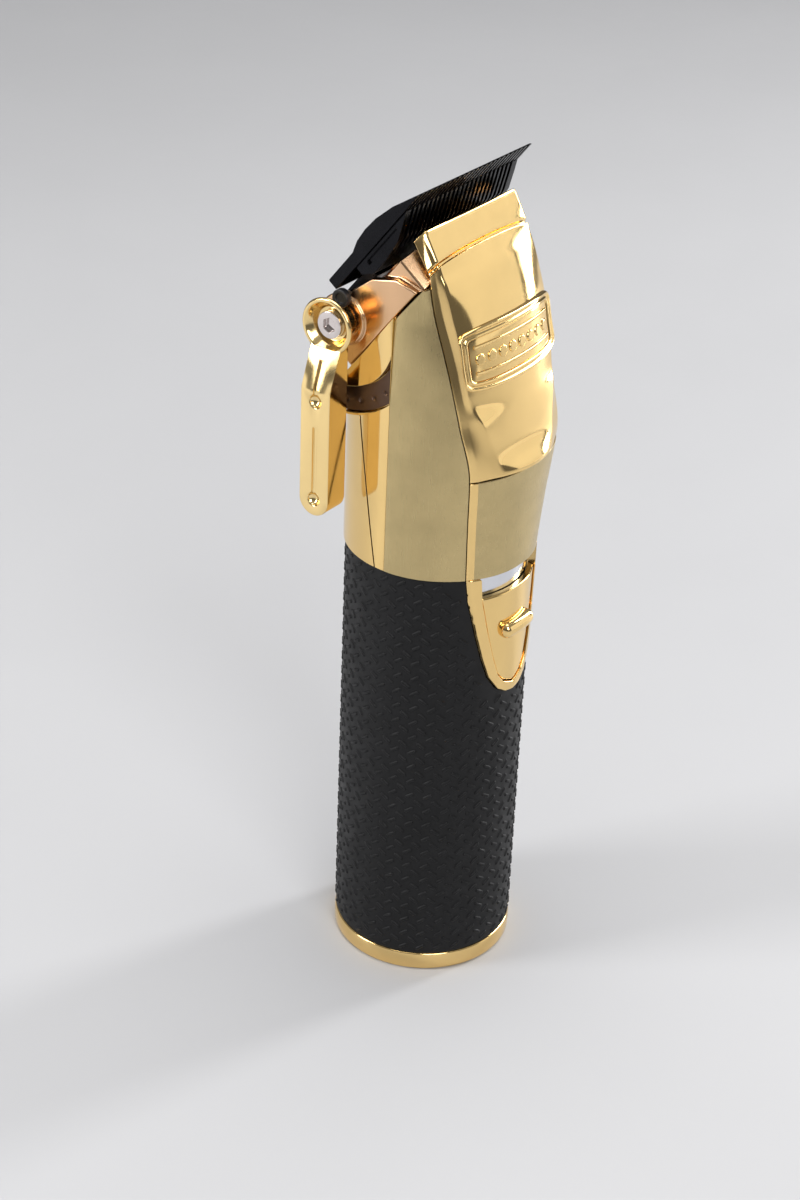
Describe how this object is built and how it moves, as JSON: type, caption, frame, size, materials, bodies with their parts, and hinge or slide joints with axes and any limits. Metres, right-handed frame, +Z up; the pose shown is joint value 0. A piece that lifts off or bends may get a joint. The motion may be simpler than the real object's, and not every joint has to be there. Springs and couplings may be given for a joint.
{
  "type": "hair clipper",
  "caption": "Cordless hair clipper with a round textured grip, polished metal head housing, angled toothed blade set, side taper lever and front slide switch.",
  "frame": {"origin": "centre of the base, at the mouth of the charging jack", "axes": "+Z up the grip towards the blade, -Y the front with the badge and switch, -X the taper lever's side"},
  "size_m": [0.048, 0.0434, 0.1841],
  "materials": {
    "gold_polished": "mirror-polished gold plating",
    "gold_satin": "brushed pale-gold anodised",
    "gold_lever": "polished gold plating",
    "grip_black": "matt black, raised grip pattern",
    "bronze_plate": "dark bronze satin",
    "blade_black": "black hard coating, satin",
    "chrome_screw": "polished",
    "bright_strip": "polished",
    "steel_fittings": "plain",
    "brass_fittings": "plain",
    "black_plastic": "fine matt",
    "grey_plastic": "moulded",
    "ivory_plastic": "moulded acetal",
    "black_rubber": "soft",
    "cell_wrap": "shrink sleeve",
    "board_green": "solder mask"
  },
  "bodies": {
    "housing": {"base_cap": "gold_polished", "base_screws": "steel_fittings", "charge_socket": "black_plastic", "charge_contacts": "brass_fittings", "base_seal": "black_rubber", "grip_sleeve": "grip_black", "collar_gasket": "black_rubber", "inner_chassis": "grey_plastic", "battery_cradle": "grey_plastic", "battery_cell": "cell_wrap", "battery_tabs": "steel_fittings", "battery_leads": "black_rubber", "control_board": "board_green", "board_components": "black_plastic", "board_screws": "steel_fittings", "switch_body": "black_plastic", "motor_can": "steel_fittings", "motor_end_cap": "ivory_plastic", "motor_leads": "black_rubber", "motor_bracket": "steel_fittings", "motor_screws": "steel_fittings", "bracket_screws": "steel_fittings", "main_housing": "gold_polished", "rear_cover": "gold_polished", "left_side_panel": "gold_satin", "right_side_panel": "gold_satin", "front_cover": "gold_polished", "front_panel": "gold_satin", "switch_frame": "gold_polished", "switch_plate": "bright_strip", "badge_frame": "gold_polished", "badge_plate": "gold_polished", "detent_plate": "bronze_plate", "lever_bush": "brass_fittings", "head_block": "gold_polished", "head_screws": "steel_fittings", "nose_band": "gold_polished", "heel_pad": "black_plastic", "blade_rails": "brass_fittings", "tension_spring": "steel_fittings"},
    "rotor": {"motor_shaft": "steel_fittings", "eccentric_cam": "brass_fittings", "eccentric_pin": "steel_fittings"},
    "blade_carrier": {"blade_bracket": "blade_black", "fixed_blade": "blade_black", "blade_screws": "blade_black"},
    "cutter": {"moving_blade": "blade_black", "drive_yoke": "ivory_plastic"},
    "lever": {"taper_lever": "gold_lever", "lever_screw": "chrome_screw", "lever_shaft": "blade_black", "detent_plunger": "steel_fittings"},
    "switch": {"switch_slider": "gold_lever"}
  },
  "joints": [
    {"name": "taper_lever_pivot", "type": "hinge", "parent": "housing", "child": "lever", "pos_m": [-0.023, 0.0134, 0.1538], "axis": [-1, 0, 0], "range_deg": [0, 46.4]},
    {"name": "blade_adjust", "type": "slide", "parent": "housing", "child": "blade_carrier", "axis": [0, -0.6157, 0.788], "range_m": [0, 0.0019]},
    {"name": "motor_spin", "type": "hinge", "parent": "housing", "child": "rotor", "pos_m": [0, 0, 0.12], "axis": [0, 0, 1], "range_deg": [-60, 60]},
    {"name": "cutter_stroke", "type": "slide", "parent": "housing", "child": "cutter", "axis": [1, 0, 0], "range_m": [-0.0012, 0.0012]},
    {"name": "power_switch", "type": "slide", "parent": "housing", "child": "switch", "axis": [0, 0, 1], "range_m": [0, 0.004]}
  ],
  "couplings": [
    {"joint": "blade_adjust", "follows": "taper_lever_pivot", "m_per_rad": 0.0023459},
    {"joint": "cutter_stroke", "follows": "motor_spin", "m_per_rad": -0.0011458}
  ]
}
